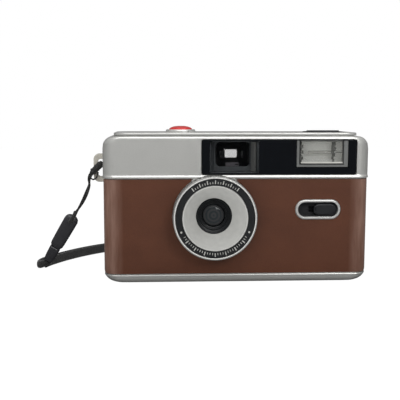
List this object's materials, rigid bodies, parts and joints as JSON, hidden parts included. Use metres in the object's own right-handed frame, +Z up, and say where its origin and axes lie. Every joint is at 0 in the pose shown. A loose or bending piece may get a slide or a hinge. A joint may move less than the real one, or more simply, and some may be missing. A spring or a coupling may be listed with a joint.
{
  "type": "half frame camera",
  "caption": "Compact half frame film camera with a fixed lens in a knurled barrel, a window panel with finder and flash, a hinged back door and a wrist strap.",
  "frame": {"origin": "on the flat base, under the middle of the body", "axes": "+X to the right seen from the front, +Y from the lens to the back door, +Z up"},
  "size_m": [0.1515, 0.0965, 0.0686],
  "materials": {
    "silver_shell": "satin silver paint over moulded plastic",
    "covering": "smooth brown leatherette",
    "silver_trim": "bright silver moulded trim",
    "gloss_black": "polished black window panel",
    "black_plastic": "fine textured black moulding",
    "dark_inner": "non-reflecting black moulding",
    "clear": "clear optical plastic",
    "steel": "plain steel",
    "mirror_metal": "polished aluminium reflector",
    "brass": "plated brass contact",
    "board": "green circuit board",
    "white_plastic": "white moulding",
    "red_button": "red moulded button",
    "cream": "natural cream moulding",
    "orange": "translucent orange lamp",
    "capacitor_sleeve": "shrink sleeve",
    "strap_cord": "black braided cord",
    "strap_moulding": "black moulded rubber"
  },
  "bodies": {
    "camera_body": {"front_shell": "silver_shell", "leatherette": "covering", "top_plate": "silver_shell", "window_panel": "gloss_black", "rear_cover": "black_plastic", "door_hinge_pin": "steel", "base_screw_left": "steel", "base_screw_right": "steel", "chassis": "dark_inner", "counter_window": "clear", "button_collar": "silver_trim", "button_spring": "steel", "finder_window": "clear", "finder_front_lens": "clear", "finder_tunnel": "dark_inner", "finder_eyepiece": "clear", "flash_frame": "silver_trim", "flash_fresnel": "clear", "flash_reflector": "mirror_metal", "flash_tube": "clear", "flash_capacitor": "capacitor_sleeve", "circuit_board": "board", "ready_lamp": "orange", "battery_contact": "brass", "flash_switch_bezel": "silver_trim", "flash_switch_track": "black_plastic", "lens_barrel": "silver_trim", "legend_ring": "black_plastic", "lens_cone": "silver_trim", "lens_cell": "dark_inner", "front_lens_element": "clear", "rear_lens_element": "clear", "shutter_plate": "steel", "shutter_spring": "steel", "strap_lug": "cream", "strap_string": "strap_cord", "strap_slider": "strap_moulding", "strap_sleeve": "strap_moulding", "wrist_loop": "strap_cord"},
    "shutter_button": {"shutter_button": "red_button"},
    "flash_switch": {"flash_switch_knob": "black_plastic"},
    "advance_wheel": {"advance_thumbwheel": "black_plastic"},
    "take_up": {"take_up_spool": "black_plastic"},
    "idler": {"idler_gear": "white_plastic"},
    "sprocket": {"sprocket_shaft": "black_plastic"},
    "counter": {"counter_dial": "white_plastic"},
    "rewind_lifter": {"rewind_bush": "steel"},
    "rewind_spindle": {"rewind_knob": "black_plastic", "rewind_fork": "black_plastic"},
    "crank": {"rewind_crank": "black_plastic"},
    "grip": {"crank_grip": "black_plastic"},
    "door": {"back_door": "black_plastic", "film_window": "clear", "pressure_plate": "dark_inner", "pressure_spring": "brass"},
    "latch": {"door_latch": "black_plastic"},
    "rewind_release": {"rewind_release_button": "black_plastic"},
    "battery_hatch": {"battery_door": "silver_shell", "battery_spring": "steel"},
    "shutter": {"shutter_blade": "dark_inner"}
  },
  "joints": [
    {"name": "shutter_button_press", "type": "slide", "parent": "camera_body", "child": "shutter_button", "axis": [0, 0, -1], "range_m": [0, 0.0012], "stiffness_N_per_m": 1200},
    {"name": "flash_switch_slide", "type": "slide", "parent": "camera_body", "child": "flash_switch", "axis": [-1, 0, 0], "range_m": [0, 0.0061]},
    {"name": "advance_wheel_turn", "type": "hinge", "parent": "camera_body", "child": "advance_wheel", "pos_m": [-0.042, 0.005, 0.057], "axis": [0, 0, 1], "continuous": true},
    {"name": "take_up_spool_turn", "type": "hinge", "parent": "camera_body", "child": "take_up", "pos_m": [-0.042, 0.005, 0.027], "axis": [0, 0, 1], "continuous": true},
    {"name": "idler_gear_turn", "type": "hinge", "parent": "camera_body", "child": "idler", "pos_m": [-0.0336, 0.0058, 0.0526], "axis": [0, 0, 1], "continuous": true},
    {"name": "sprocket_turn", "type": "hinge", "parent": "camera_body", "child": "sprocket", "pos_m": [-0.0262, 0.0064, 0.029], "axis": [0, 0, 1], "continuous": true},
    {"name": "counter_dial_turn", "type": "hinge", "parent": "camera_body", "child": "counter", "pos_m": [0.017, -0.001, 0.061], "axis": [0, 0, 1], "continuous": true},
    {"name": "rewind_lift", "type": "slide", "parent": "camera_body", "child": "rewind_lifter", "axis": [0, 0, 1], "range_m": [0, 0.006]},
    {"name": "rewind_turn", "type": "hinge", "parent": "rewind_lifter", "child": "rewind_spindle", "pos_m": [0.0411, 0.002, 0.062], "axis": [0, 0, 1], "continuous": true},
    {"name": "crank_flip", "type": "hinge", "parent": "rewind_spindle", "child": "crank", "pos_m": [0.0346, 0.002, 0.0656], "axis": [0, -1, 0], "range_deg": [0, 150]},
    {"name": "crank_grip_turn", "type": "hinge", "parent": "crank", "child": "grip", "pos_m": [0.0467, 0.002, 0.064], "axis": [0, 0, 1], "continuous": true},
    {"name": "back_door_swing", "type": "hinge", "parent": "camera_body", "child": "door", "pos_m": [-0.058, 0.0106, 0.027], "axis": [0, 0, 1], "range_deg": [0, 105], "deforming": ["wrist_loop"]},
    {"name": "door_latch_slide", "type": "slide", "parent": "door", "child": "latch", "axis": [0, 0, 1], "range_m": [0, 0.0035]},
    {"name": "rewind_release_press", "type": "slide", "parent": "camera_body", "child": "rewind_release", "axis": [0, 0, 1], "range_m": [0, 0.0014], "stiffness_N_per_m": 500},
    {"name": "battery_door_swing", "type": "hinge", "parent": "camera_body", "child": "battery_hatch", "pos_m": [0.01145, -0.0072, 0.0009], "axis": [0, 1, 0], "range_deg": [0, 100]},
    {"name": "shutter_blade_swing", "type": "hinge", "parent": "camera_body", "child": "shutter", "pos_m": [-0.002, -0.0076, 0.0225], "axis": [0, 1, 0], "range_deg": [0, 30], "stiffness_Nm_per_rad": 0.0005}
  ],
  "couplings": [
    {"joint": "take_up_spool_turn", "follows": "advance_wheel_turn", "ratio": 1},
    {"joint": "idler_gear_turn", "follows": "advance_wheel_turn", "ratio": -1.6667},
    {"joint": "sprocket_turn", "follows": "advance_wheel_turn", "ratio": 1.25},
    {"joint": "counter_dial_turn", "follows": "advance_wheel_turn", "ratio": 0.03125}
  ]
}
